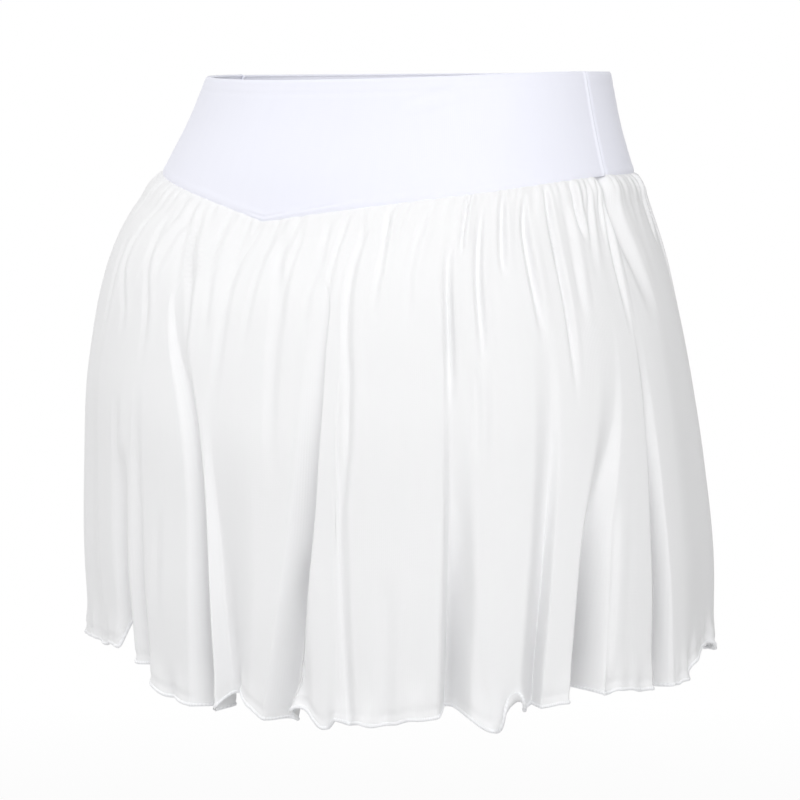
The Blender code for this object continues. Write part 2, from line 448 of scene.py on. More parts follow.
@dataclass(frozen=True)
class Crease:
    """A soft trough in the cloth with a ridge beside it.

    The path holds pairs of an angle and a share. The depth and the ridge are in metres, the width is
    the trough's half width in metres, and the ridge lies beyond the trough on the side of rising angle
    (of rising share for a crease that runs round). Fades are the parts of its length over which the
    crease grows and dies. The ridge's place and width are in half widths of the trough.
    """

    path: tuple[tuple[float, float], ...]
    width: float
    depth: float
    ridge: float = 0.0
    fade_in: float = 0.2
    fade_out: float = 0.5
    run: Run = Run.DOWN

    RIDGE_PLACE = 1.35
    RIDGE_WIDTH = 1.15

    def relief(self, angle: Array, share: Array, per_degree: Array, per_share: Array) -> Array:
        """The height that the crease gives the cloth.

        Args:
            angle: The points' angles on the garment.
            share: The points' shares.
            per_degree: The metres that a degree spans at each point.
            per_share: The metres that the whole share spans at each point.

        Returns:
            The relief at each point, in metres outwards.
        """
        angles, shares = [p[0] for p in self.path], [p[1] for p in self.path]
        if self.run is Run.DOWN:
            along, stops, others = share, shares, angles
            offset_of, scale = angle, per_degree
        else:
            along, stops, others = angle, angles, shares
            offset_of, scale = share, per_share
        t = (along - stops[0]) / (stops[-1] - stops[0])
        inside = (t > 0) & (t < 1)
        centre = curve_through(stops, others, along) if len(stops) > 2 else np.interp(along, stops, others)
        offset = (offset_of - centre) * scale / self.width
        strength = smooth_step(t / self.fade_in) * smooth_step((1 - t) / self.fade_out)
        raised = self.ridge * swell(offset - self.RIDGE_PLACE, self.RIDGE_WIDTH)
        shape = raised - self.depth * swell(offset, 1.0)
        return np.where(inside, strength * shape, 0.0)


@dataclass(frozen=True)
class GatherRange:
    """One family of gathers: how many there are over a panel and the ranges of their sizes.

    Reach is a share of the panel, depth is in metres, and width is a half width in degrees.
    """

    count: int
    reach: tuple[float, float]
    depth: tuple[float, float]
    width: tuple[float, float]
    drift: float


@dataclass(frozen=True)
class Gathers:
    """The small folds that the seam puts in the cloth, which die out below it and beside a side seam.

    A gather strays from its even place by up to a part of the step between two, and widens as it goes
    down. Its ridge has a part of its depth, and lies beyond it by the ridge's place in half widths.
    """

    seed: int
    seam_rest: float = 2.0
    stray: float = 0.45
    widening: float = 0.5
    ridge: float = 0.5
    ridge_place: float = 1.3
    seam_fade: float = 0.010
    ranges: tuple[GatherRange, ...] = (
        GatherRange(112, (0.025, 0.110), (0.0002, 0.0008), (0.70, 1.10), 0.5),
        GatherRange(44, (0.080, 0.340), (0.0002, 0.0010), (0.95, 1.70), 1.2),
    )

    def relief(self, angle: Array, share: Array, start: float, end: float) -> Array:
        """The height that the gathers give the cloth.

        Args:
            angle: The angle at which each point lies.
            share: Each point's share.
            start: The angle of the panel's first seam.
            end: The angle of its last seam.

        Returns:
            The relief at each point, in metres outwards.
        """
        chance = np.random.default_rng(self.seed)
        made = np.zeros(np.shape(angle))
        for family in self.ranges:
            step = (end - start) / family.count
            for i in range(family.count):
                place = start + (i + 0.5 + chance.uniform(-self.stray, self.stray)) * step
                low, high = family.reach
                reach = low + (high - low) * chance.random() ** 2
                depth = chance.uniform(*family.depth)
                drift = chance.uniform(-family.drift, family.drift) * share / reach
                width = chance.uniform(*family.width) * (1 + self.widening * share / reach)
                offset = angle - place - drift
                raised = self.ridge * swell(offset - self.ridge_place * width, width)
                made += depth * (raised - swell(offset, width)) * (1 - smooth_step(share / reach))
        beside = clear_of_ends(angle, start, end, self.seam_rest)
        return made * beside * smooth_step(share / self.seam_fade)


@dataclass(frozen=True)
class Scallop:
    """A place where the hem lifts or flares, with its half width in degrees and the share it starts at."""

    angle: float
    half_width: float
    lift: float
    out: float = 0.0
    start: float = 0.80


@dataclass(frozen=True)
class HemCurl:
    """A place where the edge rolls outwards on itself, with the cloth that it takes up and its radius."""

    angle: float
    half_width: float
    length: float
    radius: float

    NEARLY_FLAT = 1e-6

    def shift(self, angle: Array, above: Array) -> tuple[Array, Array]:
        """How far the curl moves the cloth.

        Args:
            angle: The angle of each point's line of cloth.
            above: Each point's distance above the hem, along the cloth.

        Returns:
            The move outwards and the move upwards, in metres.
        """
        bend = swell(angle - self.angle, self.half_width) / self.radius + self.NEARLY_FLAT
        rolled = np.maximum(self.length - above, 0.0)
        return (1 - np.cos(rolled * bend)) / bend, rolled - np.sin(rolled * bend) / bend


@dataclass(frozen=True)
class LettuceHem:
    """The small waves that a tightly rolled hem puts in the cloth's edge.

    Each wave has a pitch in degrees and a size in metres. Its phase drifts to and fro along the hem, and
    it rises by a part of its size, a lag behind its way out. A groove runs along the cloth above the roll.
    """

    seed: int
    scallops: tuple[Scallop, ...] = ()
    curls: tuple[HemCurl, ...] = ()
    start: float = 0.90
    growth: float = 1.5
    waves: tuple[tuple[float, float], ...] = ((4.1, 0.0007), (6.3, 0.0010), (10.7, 0.0009))
    rise: float = 0.55
    flare: float = 0.0012
    groove: Ridge = Ridge(-0.0007, 0.984, 0.012)

    SEED_PHASE = 1.7
    WAVE_PHASE = 2.1
    DRIFT = 1.1
    DRIFT_PITCH = 9.0
    DRIFT_STEP = 4
    RISE_LAG = 1.3

    def phase(self, wave: int, angle: Array) -> Array:
        """The phase of a wave, by its number, at angles."""
        drift = self.DRIFT * np.sin(angle / (self.DRIFT_PITCH + self.DRIFT_STEP * wave) + self.seed)
        return self.seed * self.SEED_PHASE + wave * self.WAVE_PHASE + drift

    def shift(self, angle: Array, share: Array) -> tuple[Array, Array]:
        """How far the hem moves the cloth.

        Args:
            angle: The angle of each point's line of cloth.
            share: Each point's share.

        Returns:
            The move outwards and the move upwards, in metres.
        """
        grown = smooth_step((share - self.start) / (1 - self.start)) ** self.growth
        out = self.flare * grown + self.groove.relief(share)
        up = np.zeros(np.shape(angle))
        for wave, (pitch, size) in enumerate(self.waves):
            turned = 2 * math.pi * angle / pitch + self.phase(wave, angle)
            out = out + size * grown * np.sin(turned)
            up = up + self.rise * size * grown * np.sin(turned + self.RISE_LAG)
        for scallop in self.scallops:
            near = smooth_step((share - scallop.start) / (1 - scallop.start)) ** 2
            raised = swell(angle - scallop.angle, scallop.half_width) * near
            up = up + scallop.lift * raised
            out = out + scallop.out * raised
        return out, up


# --- Cloth meshes -----------------------------------------------------------------------------------


def laid_grid(points: Array, flat: tuple[float, float]) -> bmesh.types.BMesh:
    """A smooth grid of faces on a grid of points.

    Args:
        points: The points, by row from the upper edge and by column.
        flat: The size of the flat cloth, which its UV map gives in metres.

    Returns:
        The grid, which the caller hands to add_piece.
    """
    rows, columns = points.shape[:2]
    bm = bmesh.new()
    bmesh.ops.create_grid(bm, x_segments=columns - 1, y_segments=rows - 1, size=0.5)
    layer = bm.loops.layers.uv.new(CLOTH_UV)
    for face in bm.faces:
        face.smooth = True
        for loop in face.loops:
            at = loop.vert.co
            loop[layer].uv = ((at.x + 0.5) * flat[0], (at.y + 0.5) * flat[1])
    for vertex in bm.verts:
        column = round((vertex.co.x + 0.5) * (columns - 1))
        row = round((0.5 - vertex.co.y) * (rows - 1))
        vertex.co = points[row, column]
    return bm


def add_piece(name: str, bm: bmesh.types.BMesh, finish: bpy.types.Material) -> bpy.types.Object:
    """Puts a shaped bmesh in the scene, and frees it.

    Args:
        name: The piece's name.
        bm: Its shape.
        finish: Its material.

    Returns:
        The piece.
    """
    mesh = bpy.data.meshes.new(name)
    bm.to_mesh(mesh)
    bm.free()
    mesh.materials.append(finish)
    piece = bpy.data.objects.new(name, mesh)
    bpy.context.scene.collection.objects.link(piece)
    return piece


@dataclass
class ClothSheet:
    """A grid of cloth that is laid where its points are given."""

    name: str
    points: Array
    flat: tuple[float, float]
    wall: float
    material: bpy.types.Material
    rounding: float = 0.0

    EDGE_SEGMENTS = 3
    EDGE_ANGLE = 55.0

    def build(self) -> bpy.types.Object:
        """Makes the sheet and gives it its wall.

        Returns:
            The sheet, in the scene.
        """
        bm = laid_grid(self.points, self.flat)
        for edge in bm.edges:
            edge.smooth = not edge.is_boundary
        piece = add_piece(self.name, bm, self.material)
        shell = piece.modifiers.new("Wall", "SOLIDIFY")
        shell.thickness = self.wall
        shell.offset = -1.0
        shell.use_even_offset = False
        if self.rounding:
            edge = piece.modifiers.new("Edge", "BEVEL")
            edge.width = self.rounding
            edge.segments = self.EDGE_SEGMENTS
            edge.limit_method = "ANGLE"
            edge.angle_limit = math.radians(self.EDGE_ANGLE)
        return piece


def outward_normals(points: Array) -> Array:
    """The outward normals of a laid cloth.

    Args:
        points: Its grid of points, with columns that rise in angle and rows that go down.

    Returns:
        A unit vector for each point.
    """
    across = np.gradient(points, axis=1)
    upward = -np.gradient(points, axis=0)
    normal = np.cross(across, upward)
    return normal / np.linalg.norm(normal, axis=2, keepdims=True)


# --- Materials --------------------------------------------------------------------------------------


class Signal:
    """A node's output that takes part in arithmetic."""

    def __init__(self, desk: Desk, socket: bpy.types.NodeSocket) -> None:
        """Wraps an output socket of the desk's tree."""
        self.desk = desk
        self.socket = socket

    def _math(self, operation: str, first: object, second: object) -> Signal:
        """The output of a Math node on two values or signals."""
        node = self.desk.node("ShaderNodeMath", {"operation": operation}, {0: first, 1: second})
        return Signal(self.desk, node.outputs[0])

    def __add__(self, other: object) -> Signal:
        """self + other."""
        return self._math("ADD", self, other)

    __radd__ = __add__

    def __mul__(self, other: object) -> Signal:
        """self * other."""
        return self._math("MULTIPLY", self, other)

    __rmul__ = __mul__

    def __sub__(self, other: object) -> Signal:
        """self - other."""
        return self._math("SUBTRACT", self, other)

    def __rsub__(self, other: object) -> Signal:
        """other - self."""
        return self._math("SUBTRACT", other, self)

    def sine(self) -> Signal:
        """The sine of this signal, in radians."""
        return self._math("SINE", self, 0.0)

    def largest(self, other: object) -> Signal:
        """The larger of this signal and another."""
        return self._math("MAXIMUM", self, other)

    def clamped(self) -> Signal:
        """This signal held between 0 and 1."""
        return self._math("MINIMUM", self._math("MAXIMUM", self, 0.0), 1.0)


class Desk:
    """The node tree of a material or a world, with the one method that adds a node to it."""

    MIX_FACTOR = 0
    MIX_FIRST_COLOUR = 6
    MIX_SECOND_COLOUR = 7
    MIX_COLOUR_OUT = 2

    def __init__(self, tree: bpy.types.NodeTree) -> None:
        """Clears the tree."""
        self.tree = tree
        tree.nodes.clear()

    def node(self, kind: str, settings: dict[str, object], sockets: dict[object, object]) -> bpy.types.Node:
        """Adds a node.

        Args:
            kind: The node's type.
            settings: Its properties, such as a Math node's operation.
            sockets: The value or signal of each input, by name or number.

        Returns:
            The node.
        """
        made = self.tree.nodes.new(kind)
        for name, value in settings.items():
            setattr(made, name, value)
        for name, value in sockets.items():
            if isinstance(value, Signal):
                self.tree.links.new(value.socket, made.inputs[name])
            else:
                made.inputs[name].default_value = value
        return made

    def signal(
        self, kind: str, settings: dict[str, object], sockets: dict[object, object], output: str | int
    ) -> Signal:
        """Adds a node and gives one of its outputs, by name or number."""
        return Signal(self, self.node(kind, settings, sockets).outputs[output])

    def cloth_axes(self) -> tuple[Signal, Signal, Signal]:
        """The places on the flat cloth, in metres.

        Returns:
            How far across the cloth, how far up it, and both as one vector.
        """
        vector = self.signal("ShaderNodeUVMap", {"uv_map": CLOTH_UV}, {}, "UV")
        axes = self.node("ShaderNodeSeparateXYZ", {}, {"Vector": vector})
        return Signal(self, axes.outputs["X"]), Signal(self, axes.outputs["Y"]), vector

    def blended(self, factor: object, first: object, second: object) -> Signal:
        """A colour between two others.

        Args:
            factor: How far it lies from the first towards the second.
            first: The first colour.
            second: The second colour.

        Returns:
            The blend.
        """
        settings = {"data_type": "RGBA", "blend_type": "MIX"}
        colours = {self.MIX_FACTOR: factor, self.MIX_FIRST_COLOUR: first, self.MIX_SECOND_COLOUR: second}
        return self.signal("ShaderNodeMix", settings, colours, self.MIX_COLOUR_OUT)


@dataclass(frozen=True)
class ClothFinish:
    """What every cloth finish states: its colours, how it takes the light, and its knit's loops.

    A wale is a column of loops and a course a row: both sizes are pitches in metres. The relief is the
    height of the loops. Slubs are the thick places in the yarn, long up the cloth. Each part of the
    knit has its own share in the relief and in the painted shade between the loops: a darker colour
    painted into the knit's hollows, where shade falls, which the slubs also vary at random as tone.
    """

    name: str
    colour: tuple[float, float, float]
    # The colour painted as shade in the hollows between the loops.
    painted_shade: tuple[float, float, float]
    roughness: float
    sheen: float
    specular: float
    wale: float
    course: float
    relief: float

    COURSE_SWAY = 0.9
    WALE_RELIEF = 0.5
    COURSE_RELIEF = 0.3
    SLUB_RELIEF = 0.7
    SLUB_SCALE = (240.0, 40.0, 1.0)
    SLUB_DETAIL = 3.0
    SLUB_MEAN = 0.5
    MEAN_SHADE = 0.35
    SLUB_SHADE = 0.5
    LOOP_SHADE = 0.25
    BUMP = 0.12
    ROUGHER_BETWEEN = 0.10
    SHEEN_ROUGHNESS = 0.45

    def knit(self, desk: Desk) -> tuple[Signal, Signal]:
        """The knit's loops.

        Args:
            desk: The material's desk.

        Returns:
            The height of the loops, and how much of the painted shade colour shows between them: painted
            shade in the hollows, varied at random by the slubs.
        """
        across, up, vector = desk.cloth_axes()
        wales = (across * (2 * math.pi / self.wale)).sine()
        courses = (up * (2 * math.pi / self.course) + wales * self.COURSE_SWAY).sine()
        loops = wales * self.WALE_RELIEF + courses * self.COURSE_RELIEF
        mapped = {"Vector": vector, "Scale": self.SLUB_SCALE}
        stretched = desk.signal("ShaderNodeMapping", {"vector_type": "POINT"}, mapped, 0)
        noise = {"Vector": stretched, "Scale": 1.0, "Detail": self.SLUB_DETAIL}
        slub = desk.signal("ShaderNodeTexNoise", {}, noise, 0)
        # Painted shade: the shade colour shows more where the loops sit low, and varies at random with the
        # yarn's thin places.
        thin = (self.SLUB_MEAN - slub) * self.SLUB_SHADE
        painted_shade_share = (thin + self.MEAN_SHADE - loops * self.LOOP_SHADE).clamped()
        return loops + slub * self.SLUB_RELIEF, painted_shade_share

    def make(self) -> bpy.types.Material:
        """Makes the finish's material.

        Returns:
            The material.
        """
        material = bpy.data.materials.new(self.name)
        material.use_nodes = True
        desk = Desk(material.node_tree)
        height, painted_shade_share = self.knit(desk)
        # Blends the painted shade into the base colour between the loops.
        colour = desk.blended(painted_shade_share, (*self.colour, 1.0), (*self.painted_shade, 1.0))
        raised = {"Strength": self.BUMP, "Distance": self.relief, "Height": height}
        bump = desk.signal("ShaderNodeBump", {}, raised, 0)
        rough = painted_shade_share * self.ROUGHER_BETWEEN + self.roughness
        surface = desk.signal(
            "ShaderNodeBsdfPrincipled",
            {},
            {
                "Base Color": colour,
                "Roughness": rough,
                "Normal": bump,
                "Sheen Weight": self.sheen,
                "Sheen Roughness": self.SHEEN_ROUGHNESS,
                "Specular IOR Level": self.specular,
            },
            "BSDF",
        )
        desk.node("ShaderNodeOutputMaterial", {}, {"Surface": surface})
        return material


@dataclass(frozen=True)
class ThreadFinish(ClothFinish):
    """A finish whose loops are threads wrapped round a rolled edge."""

    THREAD_RELIEF = 0.6
    THREAD_SHADE = 0.3

    def knit(self, desk: Desk) -> tuple[Signal, Signal]:
        """The wrapped threads, slanting over the roll.

        Args:
            desk: The material's desk.

        Returns:
            The height of the threads, and how much of the painted shade colour shows in the grooves between
            them.
        """
        across, up, _ = desk.cloth_axes()
        wraps = (across * (2 * math.pi / self.wale) + up * (2 * math.pi / self.course)).sine()
        # Painted shade in the grooves between the threads.
        return wraps * self.THREAD_RELIEF, (self.THREAD_SHADE - wraps * self.THREAD_SHADE).clamped()


BAND_KNIT = ClothFinish(
    name="Band_Knit",
    colour=(0.872, 0.880, 0.960),
    # Painted shade colour for the hollows between the loops.
    painted_shade=(0.842, 0.848, 0.935),
    roughness=0.52,
    sheen=0.12,
    specular=0.35,
    wale=0.0011,
    course=0.0009,
    relief=0.00012,
)
SKIRT_JERSEY = ClothFinish(
    name="Skirt_Jersey",
    colour=(0.891, 0.897, 0.900),
    # Painted shade colour for the hollows between the loops.
    painted_shade=(0.876, 0.868, 0.882),
    roughness=0.70,
    sheen=0.20,
    specular=0.25,
    wale=0.0013,
    course=0.0010,
    relief=0.00016,
)
HEM_THREAD = ThreadFinish(
    name="Hem_Thread",
    colour=(0.925, 0.930, 0.945),
    # Painted shade colour for the grooves between the wrapped threads.
    painted_shade=(0.820, 0.825, 0.845),
    roughness=0.48,
    sheen=0.20,
    specular=0.40,
    wale=0.0014,
    course=0.0060,
    relief=0.00020,
)


# --- The pieces -------------------------------------------------------------------------------------


@dataclass
class Waistband:
    """One half of the band, with its turned edges, side seams and soft dents.

    Distances from a side seam are in degrees, and those from the top and lower edges in metres. The
    front half is tucked under the back one at the seams. The spacings say how close the columns and
    the rows lie.
    """

    form: GarmentForm
    side: Side
    creases: tuple[Crease, ...] = ()
    wall: float = 0.0018
    rounding: float = 0.0006
    columns: int = 250
    rows: int = 64
    tuck: float = 0.9
    flat: tuple[float, float] = (0.385, 0.087)
    flat_area: float = 0.0262

    COLUMN_SPACING = ((0.0, 0.3), (0.03, 1.0), (0.97, 1.0), (1.0, 0.3))
    ROW_SPACING = ((0.0, 0.35), (0.12, 1.0), (0.86, 1.0), (0.93, 0.45), (1.0, 0.35))
    SEAM_RIDGE = Ridge(0.00075, 0.75, 0.95)
    SEAM_TURN = Turn(0.0008, 0.35)
    TUCKED_TURN = Turn(0.0015, 2.2)
    LOWER_ROLL = Ridge(0.00030, 0.0030, 0.0028)
    LOWER_TURN = Turn(0.0004, 0.0012)
    TOP_TURN = Turn(0.0006, 0.0016)
    TOP_STITCHES = Ridge(-0.0002, 0.0085, 0.0016)
    DENT = 0.0005
    DENT_PITCH = 9.0
    DENT_SLANT = 1.7
    DENT_FALL = 2.6
    DENT_PHASES = (0.6, 0.4)

    def edge_relief(self, beyond: Array, above: Array, below: Array) -> Array:
        """The relief of the band's edges.

        Args:
            beyond: The degrees from the nearest side seam.
            above: The metres below the top edge.
            below: The metres above the lower edge.

        Returns:
            The relief at each point, in metres outwards.
        """
        if self.side is Side.BACK:
            seam = self.SEAM_RIDGE.relief(beyond) + self.SEAM_TURN.relief(beyond)
        else:
            seam = self.TUCKED_TURN.relief(beyond + self.tuck)
        rolled = self.LOWER_ROLL.relief(below) + self.LOWER_TURN.relief(below)
        folded = self.TOP_TURN.relief(above) + self.TOP_STITCHES.relief(above)
        return seam + rolled + folded

    def dents(self, angle: Array, share: Array) -> Array:
        """The slow unevenness of stretched knit.

        Args:
            angle: The points' angles on the garment.
            share: The points' shares of the way down the band.

        Returns:
            The relief at each point, in metres outwards.
        """
        round_it = np.sin(angle / self.DENT_PITCH + self.DENT_SLANT * share + self.DENT_PHASES[0])
        return self.DENT * round_it * np.sin(self.DENT_FALL * share + self.DENT_PHASES[1])

    def points(self) -> Array:
        """Lays the outside of the band.

        Returns:
            Its grid of points, by row from the top edge.
        """
        middle = self.side.value
        reach = QUARTER_TURN + (0.0 if self.side is Side.BACK else self.tuck)
        spread = evened(self.COLUMN_SPACING, self.columns)
        down = evened(self.ROW_SPACING, self.rows)
        angle, share = np.meshgrid(middle - reach + 2 * reach * spread, down)
        top, bottom = self.form.band_top(angle), self.form.band_bottom(angle)
        height = top + share * (bottom - top)
        x, y, _, _ = self.form.band_sections(height).points(angle)
        placed = np.stack([x, y, height], axis=2)
        per_degree = np.radians(1.0) * np.hypot(x, y)
        tall = top - bottom
        relief = self.edge_relief(QUARTER_TURN - np.abs(angle - middle), share * tall, (1 - share) * tall)
        for crease in self.creases:
            relief = relief + crease.relief(angle, share, per_degree, tall)
        relief = relief + self.dents(angle, share)
        return placed + relief[:, :, None] * outward_normals(placed)

    def build(self, finish: bpy.types.Material) -> bpy.types.Object:
        """Makes the piece and seats it on the frame.

        Args:
            finish: The knit's material.

        Returns:
            The piece.
        """
        name = f"band_{self.side.word}_knit"
        piece = ClothSheet(name, self.points(), self.flat, self.wall, finish, self.rounding).build()
        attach(piece, BODY)
        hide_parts(f"waistband_{self.side.word}")
        return piece


@dataclass
class SkirtPanel:
    """One half of the skirt: a gathered panel that hangs from the band in folds.

    Between the band and the seam_hold share, the folds' wander fades out, so that the seam lies still.
    The hem's waves fade out over the last seam_rest degrees by a side seam. The top is tucked behind
    the band's edge. A degree spans about TOP_DEGREE metres at the band and HEM_GAIN more at the hem.
    """

    form: GarmentForm
    side: Side
    folds: tuple[Fold, ...]
    gathers: Gathers
    hem: LettuceHem
    creases: tuple[Crease, ...] = ()
    wall: float = 0.0008
    columns: int = 540
    rows: int = 84
    seam_hold: float = 0.20
    seam_rest: float = 1.5
    tucked: float = 0.0012
    flat: tuple[float, float] = (0.80, 0.29)

    ROW_SPACING = ((0.0, 0.35), (0.10, 0.55), (0.4, 0.8), (0.6, 1.6), (0.85, 1.8), (0.93, 0.6), (1.0, 0.4))
    HEM_ROWS = (0.9985, 0.999, 1.0)
    LIFT_POWER = 3
    TOP_DEGREE = 0.00245
    HEM_GAIN = 0.00125
    PUFF = Ridge(0.0012, 0.028, 0.032)
    SEAM_TURN = Turn(0.0013, 0.010)

    @property
    def start(self) -> float:
        """The angle of the panel's first seam."""
        return self.side.value - QUARTER_TURN

    @property
    def end(self) -> float:
        """The angle of the panel's last seam."""
        return self.side.value + QUARTER_TURN

    def wandered(self, angle: Array, share: Array) -> Array:
        """The angle at which a line of cloth lies on the garment.

        Args:
            angle: The line's angle at the hem.
            share: How far down the line the point is.

        Returns:
            The angle of each point.
        """
        places = np.array([self.start, *[fold.angle for fold in self.folds], self.end])
        shift = np.zeros(np.shape(angle))
        for row in range(angle.shape[0]):
            down = share[row, :1]
            wanders = [0.0, *[float(fold.wander(down)[0]) for fold in self.folds], 0.0]
            shift[row] = np.interp(angle[row], places, wanders)
        return angle + shift * smooth_step(share / self.seam_hold)

    def place(self, angle: Array, share: Array) -> Array:
        """Lays lines of cloth on the garment.

        Args:
            angle: The angle of each point's line at the hem, one row of the grid at a time.
            share: Each point's share, the same along a row.

        Returns:
            The points, in metres.
        """
        turned = self.wandered(angle, share)
        x, y, out_x, out_y = self.form.skirt_sections(turned, share).points(turned)
        depth, lift, lean = np.zeros(x.shape), np.zeros(x.shape), np.zeros(x.shape)
        for fold in self.folds:
            spread = fold.spread(angle, share)
            depth += fold.depth * spread * fold.growth(share)
            lift += fold.lift * spread * share**self.LIFT_POWER
            if fold.lap:
                lean += fold.lean(angle, share)
        hem_out, hem_up = self.hem.shift(angle, share)
        loose = clear_of_ends(angle, self.start, self.end, self.seam_rest)
        hem_out, hem_up = hem_out * loose, hem_up * loose
        inward = depth - hem_out
        top = self.form.band_bottom(turned) + self.tucked
        height = top + share * (self.form.hem_level(turned) - top) + lift + hem_up
        x, y = x - inward * out_x - lean * out_y, y - inward * out_y + lean * out_x
        placed = np.stack([x, y, height], axis=2)
        placed = placed + self.relief(turned, share)[:, :, None] * outward_normals(placed)
        for curl in self.hem.curls:
            curl_out, curl_up = curl.shift(angle, (1 - share) * self.flat[1])
            placed = placed + np.stack([curl_out * out_x, curl_out * out_y, curl_up], axis=2)
        return placed

    def relief(self, turned: Array, share: Array) -> Array:
        """The relief of the gathers, the creases and the puffed seam.

        Args:
            turned: The angle at which each point lies.
            share: Each point's share.

        Returns:
            The relief at each point, in metres outwards.
        """
        per_degree = self.TOP_DEGREE + self.HEM_GAIN * smooth_step(share)
        per_share = np.full(np.shape(share), self.flat[1])
        made = self.gathers.relief(turned, share, self.start, self.end)
        for crease in self.creases:
            made = made + crease.relief(turned, share, per_degree, per_share)
        puffed = self.PUFF.relief(share) + self.SEAM_TURN.relief(share)
        return made + puffed

    def points(self) -> Array:
        """Lays the outside of the panel, with closer columns where they part higher up.

        Returns:
            Its grid of points, by row from the band.
        """
        fine = np.linspace(self.start, self.end, FINE_STEPS)
        high_up = self.wandered(fine[None], np.full((1, len(fine)), self.seam_hold))[0]
        paces = np.maximum(np.diff(high_up) / np.diff(fine), 1.0)
        passed = np.concatenate([[0.0], np.cumsum(paces)])
        spread = np.interp(np.linspace(0.0, passed[-1], self.columns), passed, fine)
        return self.place(*np.meshgrid(spread, evened(self.ROW_SPACING, self.rows)))

    def hem_line(self, count: int) -> Array:
        """The panel's lower edge as a line of points, laid with the rows that its normals need."""
        return self.place(*np.meshgrid(np.linspace(self.start, self.end, count), self.HEM_ROWS))[-1]

    def build(self, finish: bpy.types.Material, roll: bpy.types.Object) -> bpy.types.Object:
        """Makes the piece and seats it on the frame.

        Args:
            finish: The jersey's material.
            roll: The roll along the panel's hem; not used.

        Returns:
            The piece.
        """
        name = f"skirt_{self.side.word}_jersey"
        piece = ClothSheet(name, self.points(), self.flat, self.wall, finish).build()
        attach(piece, BODY)
        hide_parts(f"skirt_{self.side.word}")
        return piece


@dataclass
class RolledHem:
    """The thread-wrapped roll along a panel's lower edge, sunk into it by a part of the wall."""

    panel: SkirtPanel
    radius: float = 0.00115
    sunk: float = 0.4
    count: int = 900
    sides: int = 8

    SEAM_GAP = 1e-7

    def tube(self, line: Array) -> Array:
        """Lays the roll's surface.

        Args:
            line: The line that it follows.

        Returns:
            Its grid of points, with a last row that lies on the first.
        """
        along = np.gradient(line, axis=0)
        along /= np.linalg.norm(along, axis=1, keepdims=True)
        up = np.array([0.0, 0.0, 1.0])
        out = np.cross(along, up)
        out /= np.linalg.norm(out, axis=1, keepdims=True)
        over = np.cross(out, along)
        centre = line - self.sunk * self.panel.wall * out
        turn = np.linspace(0.0, 2 * math.pi, self.sides + 1)[:, None, None]
        return centre[None] + self.radius * (np.cos(turn) * out[None] + np.sin(turn) * over[None])

    def build(self, finish: bpy.types.Material) -> bpy.types.Object:
        """Makes the roll and seats it on the frame.

        Args:
            finish: The thread's material.

        Returns:
            The piece.
        """
        line = self.panel.hem_line(self.count)
        length = float(np.linalg.norm(np.diff(line, axis=0), axis=1).sum())
        bm = laid_grid(self.tube(line), (length, 2 * math.pi * self.radius))
        bmesh.ops.remove_doubles(bm, verts=bm.verts[:], dist=self.SEAM_GAP)
        bmesh.ops.holes_fill(bm, edges=[edge for edge in bm.edges if edge.is_boundary], sides=0)
        bmesh.ops.recalc_face_normals(bm, faces=bm.faces[:])
        piece = add_piece(f"hem_{self.panel.side.word}_roll", bm, finish)
        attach(piece, BODY)
        return piece


# --- The studio -------------------------------------------------------------------------------------


@dataclass(frozen=True)
class SoftLamp:
    """A large soft light, placed by its angle round the garment and its rise above it.

    Its level is what it adds to a colour that faces it.
    """

    name: str
    angle: float
    rise: float
    distance: float
    size: float
    level: float

    def build(self, aim: Vector) -> None:
        """Hangs the lamp and turns it to the aim.

        Args:
            aim: The point that the lamp faces.
        """
        turn, climb = math.radians(self.angle), math.radians(self.rise)
        outward = math.cos(climb)
        towards = Vector((-math.sin(turn) * outward, math.cos(turn) * outward, math.sin(climb)))
        lamp = bpy.data.lights.new(self.name, "AREA")
        lamp.shape = "SQUARE"
        lamp.size = self.size
        lamp.energy = self.level * (math.pi * self.distance) ** 2
        holder = bpy.data.objects.new(self.name, lamp)
        holder.location = aim + towards * self.distance
        holder.rotation_euler = (-towards).to_track_quat("-Z", "Y").to_euler()
        bpy.context.scene.collection.objects.link(holder)


